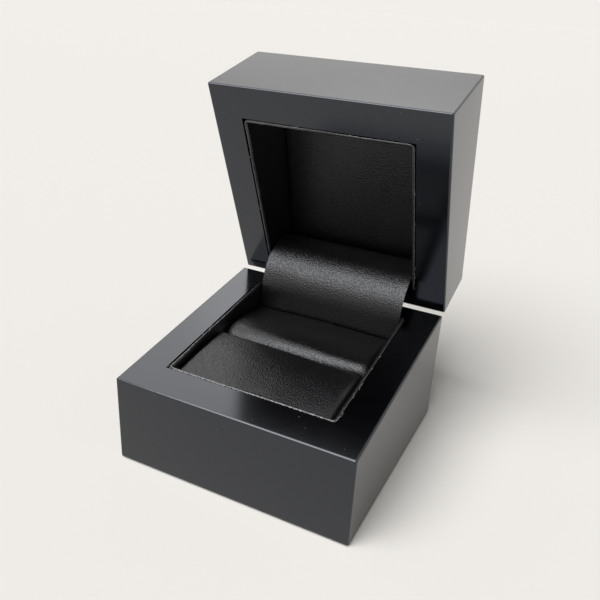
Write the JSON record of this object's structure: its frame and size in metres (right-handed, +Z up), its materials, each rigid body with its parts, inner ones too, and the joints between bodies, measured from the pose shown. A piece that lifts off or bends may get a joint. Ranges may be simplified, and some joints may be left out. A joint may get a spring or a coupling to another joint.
{
  "type": "ring display box",
  "caption": "Hinged presentation box for one ring: black lacquered base and lid split by a slanted plane, leatherette lining, slotted ring cushion and snap hinge.",
  "frame": {"origin": "centre of the underside, on the felt that the box stands on", "axes": "+X to the right and +Y to the rear hinge as seen from the front, +Z up"},
  "size_m": [0.075, 0.0945, 0.1126],
  "materials": {
    "lacquer": "satin black lacquer on board",
    "leatherette": "fine grained black leatherette",
    "board": "bare fibreboard",
    "card": "grey card",
    "felt": "black felt",
    "foam": "open cell foam",
    "nickel": "nickel plated steel"
  },
  "bodies": {
    "base": {"base_shell": "lacquer", "base_floor": "board", "base_felt": "felt", "base_liner_card": "card", "base_liner": "leatherette", "cushion_riser": "foam", "cushion_board": "card", "cushion_front": "leatherette", "cushion_rear": "leatherette", "hinge_base_leaf": "nickel", "hinge_pin": "nickel", "hinge_spring": "nickel", "hinge_rivets": "nickel", "base_screws": "nickel", "hinge_strip": "leatherette"},
    "lid": {"lid_shell": "lacquer", "lid_liner_card": "card", "lid_liner": "leatherette", "ceiling_card": "card", "lid_ceiling": "leatherette", "hinge_lid_leaf": "nickel", "lid_screws": "nickel"}
  },
  "joints": [
    {"name": "lid_hinge", "type": "hinge", "parent": "base", "child": "lid", "pos_m": [0, 0.037, 0.0365], "axis": [1, 0, 0], "range_deg": [0, 76.5], "deforming": ["hinge_spring", "hinge_strip"]}
  ]
}
